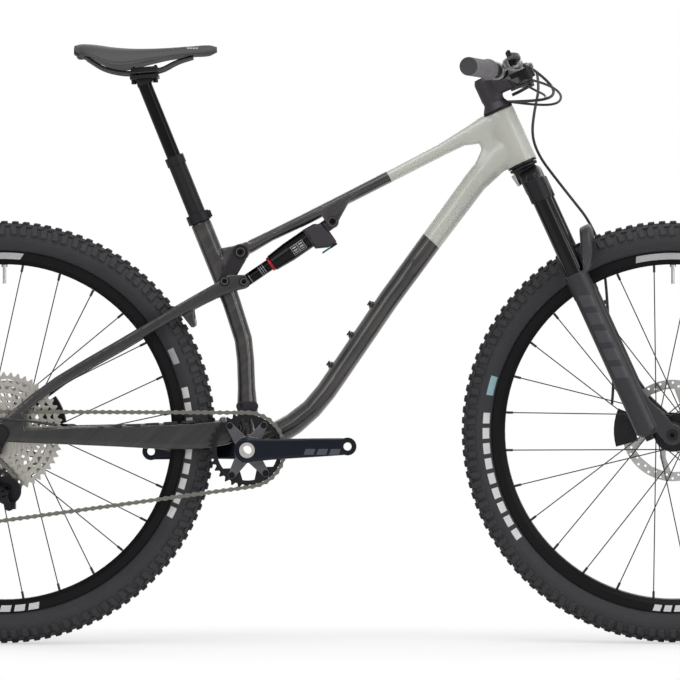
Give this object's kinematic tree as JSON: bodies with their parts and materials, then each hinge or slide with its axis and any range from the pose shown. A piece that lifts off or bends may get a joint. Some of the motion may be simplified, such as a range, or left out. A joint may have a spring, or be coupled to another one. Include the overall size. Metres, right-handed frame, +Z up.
{
  "type": "mountain bike",
  "caption": "Full-suspension mountain bike with a telescopic fork, rear shock and rocker link, disc brakes, rear derailleur and telescopic seat post.",
  "frame": {"origin": "on the ground, midway between the wheels' ground contacts, in the bike's centre plane", "axes": "+X forward along the bike, +Y to the rider's left, +Z up; the drive side is at -Y"},
  "size_m": [1.9182, 0.7877, 1.0546],
  "materials": {
    "frame_front": "two-tone paint: light grey-green head end, charcoal metallic rear",
    "frame_rear": "charcoal metallic paint",
    "black_anodised": "satin black anodised",
    "stanchion_black": "gloss black slick coating",
    "lowers": "dark satin grey",
    "crank_black": "gloss blue-black",
    "silver": "bright steel and polished alloy",
    "lever_black": "satin black",
    "spoke_black": "black spokes",
    "tyre_rubber": "matt dark grey rubber",
    "rubber_black": "matt rubber",
    "hose_black": "matt black hose",
    "plastic_black": "matt black plastic",
    "lever_blue": "blue anodised",
    "rail_steel": "dark steel rails",
    "saddle_cover": "fine-grained black cover"
  },
  "bodies": {
    "frame": {"front_triangle": "frame_front", "seat_clamp": "black_anodised", "dropper_outer": "black_anodised", "frame_fittings": "silver", "frame_pivot_bolts": "black_anodised", "frame_bearings": "black_anodised", "chain": "silver"},
    "dropper": {"dropper_stanchion": "stanchion_black", "saddle_clamp": "black_anodised", "saddle_rails": "rail_steel", "saddle_shell": "plastic_black", "saddle_pad": "saddle_cover"},
    "steering": {"fork_crown": "black_anodised", "fork_stanchions": "stanchion_black", "stem": "black_anodised", "handlebar": "black_anodised", "grips": "rubber_black", "brake_masters": "silver", "bar_controls": "black_anodised", "control_hoses": "hose_black", "front_brake_hose": "hose_black"},
    "compression_dial": {"compression_dial": "plastic_black"},
    "brake_lever_left": {"brake_lever_left": "lever_black"},
    "brake_lever_right": {"brake_lever_right": "lever_black"},
    "shift_paddle_up": {"shift_paddle_up": "plastic_black"},
    "shift_paddle_down": {"shift_paddle_down": "plastic_black"},
    "dropper_lever": {"dropper_lever": "lever_black"},
    "fork_lowers": {"fork_lowers": "lowers", "front_axle": "silver", "front_caliper": "lever_black"},
    "rebound_dial": {"rebound_dial": "plastic_black"},
    "front_wheel": {"front_tyre": "tyre_rubber", "front_rim": "black_anodised", "front_spokes": "spoke_black", "front_hub": "black_anodised", "front_rotor": "silver"},
    "swingarm": {"rear_triangle": "frame_rear", "rear_fasteners": "silver", "chainstay_protector": "rubber_black", "rear_caliper": "lever_black", "derailleur_mount": "lever_black", "derailleur_housing": "hose_black"},
    "rear_wheel": {"rear_tyre": "tyre_rubber", "rear_rim": "black_anodised", "rear_spokes": "spoke_black", "rear_hub": "black_anodised", "rear_rotor": "silver"},
    "cassette": {"cassette": "silver"},
    "crankset": {"crank_arms": "crank_black", "crank_spindle": "silver", "chainring": "lever_black"},
    "derailleur_links": {"derailleur_links": "lever_black"},
    "derailleur_knuckle": {"derailleur_knuckle": "lever_black"},
    "derailleur_cage": {"derailleur_cage": "lever_black"},
    "guide_pulley": {"guide_pulley": "plastic_black"},
    "tension_pulley": {"tension_pulley": "plastic_black"},
    "rocker_link": {"rocker_link": "frame_rear"},
    "shock_body": {"shock_body": "black_anodised"},
    "shock_lever": {"shock_lever": "lever_blue"},
    "shock_shaft": {"shock_shaft": "stanchion_black"}
  },
  "joints": [
    {"name": "steering_turn", "type": "hinge", "parent": "frame", "child": "steering", "pos_m": [0.3023, 0, 0.8905], "axis": [-0.4147, 0, 0.91], "range_deg": [-54, 66]},
    {"name": "fork_slide", "type": "slide", "parent": "steering", "child": "fork_lowers", "axis": [-0.4147, 0, 0.91], "range_m": [0, 0.12], "stiffness_N_per_m": 15000, "springref_m": -0.012, "deforming": ["front_brake_hose"]},
    {"name": "front_wheel_spin", "type": "hinge", "parent": "fork_lowers", "child": "front_wheel", "pos_m": [0.58782, -0.0047, 0.37191], "axis": [0.0951, 0.9945, 0.0433], "continuous": true},
    {"name": "rear_suspension", "type": "hinge", "parent": "frame", "child": "swingarm", "pos_m": [-0.1777, 0, 0.3806], "axis": [0, 1, 0], "range_deg": [0, 13.9], "stiffness_Nm_per_rad": 3400, "springref_deg": -1.72, "deforming": ["chain"]},
    {"name": "rocker_swing", "type": "hinge", "parent": "frame", "child": "rocker_link", "pos_m": [-0.172, 0, 0.688], "axis": [0, -1, 0], "range_deg": [0, 62]},
    {"name": "shock_swing", "type": "hinge", "parent": "frame", "child": "shock_body", "pos_m": [-0.0105, 0, 0.7419], "axis": [0, -1, 0], "range_deg": [0, 17]},
    {"name": "shock_slide", "type": "slide", "parent": "shock_body", "child": "shock_shaft", "axis": [0.8257, 0, 0.5641], "range_m": [0, 0.0385]},
    {"name": "shock_lever_turn", "type": "hinge", "parent": "shock_body", "child": "shock_lever", "pos_m": [-0.00869, 0, 0.70075], "axis": [-0.5641, 0, 0.8257], "range_deg": [-60, 0]},
    {"name": "rear_wheel_spin", "type": "hinge", "parent": "swingarm", "child": "rear_wheel", "pos_m": [-0.588, 0, 0.372], "axis": [0, 1, 0], "continuous": true},
    {"name": "crank_spin", "type": "hinge", "parent": "frame", "child": "crankset", "pos_m": [-0.15905, 0, 0.342], "axis": [0, 1, 0], "continuous": true},
    {"name": "cassette_spin", "type": "hinge", "parent": "swingarm", "child": "cassette", "pos_m": [-0.588, 0, 0.372], "axis": [0, 1, 0], "continuous": true},
    {"name": "derailleur_shift", "type": "hinge", "parent": "swingarm", "child": "derailleur_links", "pos_m": [-0.632, -0.084, 0.298], "axis": [0.141, 0.8751, 0.463], "range_deg": [-22, 24]},
    {"name": "derailleur_level", "type": "hinge", "parent": "derailleur_links", "child": "derailleur_knuckle", "pos_m": [-0.579, -0.078, 0.2705], "axis": [0.141, 0.8751, 0.463], "range_deg": [-24, 22]},
    {"name": "cage_swing", "type": "hinge", "parent": "derailleur_knuckle", "child": "derailleur_cage", "pos_m": [-0.577, -0.06, 0.2705], "axis": [0, 1, 0], "range_deg": [-50, 8], "stiffness_Nm_per_rad": 1.6, "springref_deg": 8.02},
    {"name": "guide_pulley_spin", "type": "hinge", "parent": "derailleur_cage", "child": "guide_pulley", "pos_m": [-0.591, -0.052, 0.284], "axis": [0, 1, 0], "continuous": true},
    {"name": "tension_pulley_spin", "type": "hinge", "parent": "derailleur_cage", "child": "tension_pulley", "pos_m": [-0.652, -0.052, 0.236], "axis": [0, 1, 0], "continuous": true},
    {"name": "dropper_slide", "type": "slide", "parent": "frame", "child": "dropper", "axis": [-0.3746, 0, 0.9272], "range_m": [-0.125, 0], "stiffness_N_per_m": 150, "springref_m": 0.3},
    {"name": "brake_lever_left_pull", "type": "hinge", "parent": "steering", "child": "brake_lever_left", "pos_m": [0.33731, 0.20698, 1.02481], "axis": [-0.4147, 0, 0.91], "range_deg": [0, 16], "stiffness_Nm_per_rad": 0.6, "springref_deg": -8.59},
    {"name": "brake_lever_right_pull", "type": "hinge", "parent": "steering", "child": "brake_lever_right", "pos_m": [0.29641, -0.22066, 1.00617], "axis": [0.4147, 0, -0.91], "range_deg": [0, 16], "stiffness_Nm_per_rad": 0.6, "springref_deg": -8.59},
    {"name": "shift_up_push", "type": "hinge", "parent": "steering", "child": "shift_paddle_up", "pos_m": [0.32178, -0.17397, 0.98661], "axis": [-0.4147, 0, 0.91], "range_deg": [0, 14], "stiffness_Nm_per_rad": 0.2, "springref_deg": -5.73},
    {"name": "shift_down_push", "type": "hinge", "parent": "steering", "child": "shift_paddle_down", "pos_m": [0.32178, -0.17397, 0.98661], "axis": [-0.4147, 0, 0.91], "range_deg": [0, 25], "stiffness_Nm_per_rad": 0.2, "springref_deg": -5.73},
    {"name": "dropper_lever_push", "type": "hinge", "parent": "steering", "child": "dropper_lever", "pos_m": [0.3433, 0.16329, 0.99901], "axis": [0.4147, 0, -0.91], "range_deg": [0, 25], "stiffness_Nm_per_rad": 0.2, "springref_deg": -5.73},
    {"name": "compression_dial_turn", "type": "hinge", "parent": "steering", "child": "compression_dial", "pos_m": [0.33893, -0.06648, 0.81268], "axis": [-0.4147, 0, 0.91], "range_deg": [-150, 150]},
    {"name": "rebound_dial_turn", "type": "hinge", "parent": "fork_lowers", "child": "rebound_dial", "pos_m": [0.54171, -0.06648, 0.36771], "axis": [-0.4147, 0, 0.91], "range_deg": [-150, 150]}
  ],
  "couplings": [
    {"joint": "rocker_swing", "follows": "rear_suspension", "ratio": 4.42},
    {"joint": "shock_swing", "follows": "rear_suspension", "ratio": 1.2023},
    {"joint": "shock_slide", "follows": "rear_suspension", "m_per_rad": 0.15736},
    {"joint": "cassette_spin", "follows": "crank_spin", "ratio": 1.7778},
    {"joint": "guide_pulley_spin", "follows": "crank_spin", "ratio": -2.4615},
    {"joint": "tension_pulley_spin", "follows": "crank_spin", "ratio": 2.4615},
    {"joint": "derailleur_level", "follows": "derailleur_shift", "ratio": -1}
  ]
}
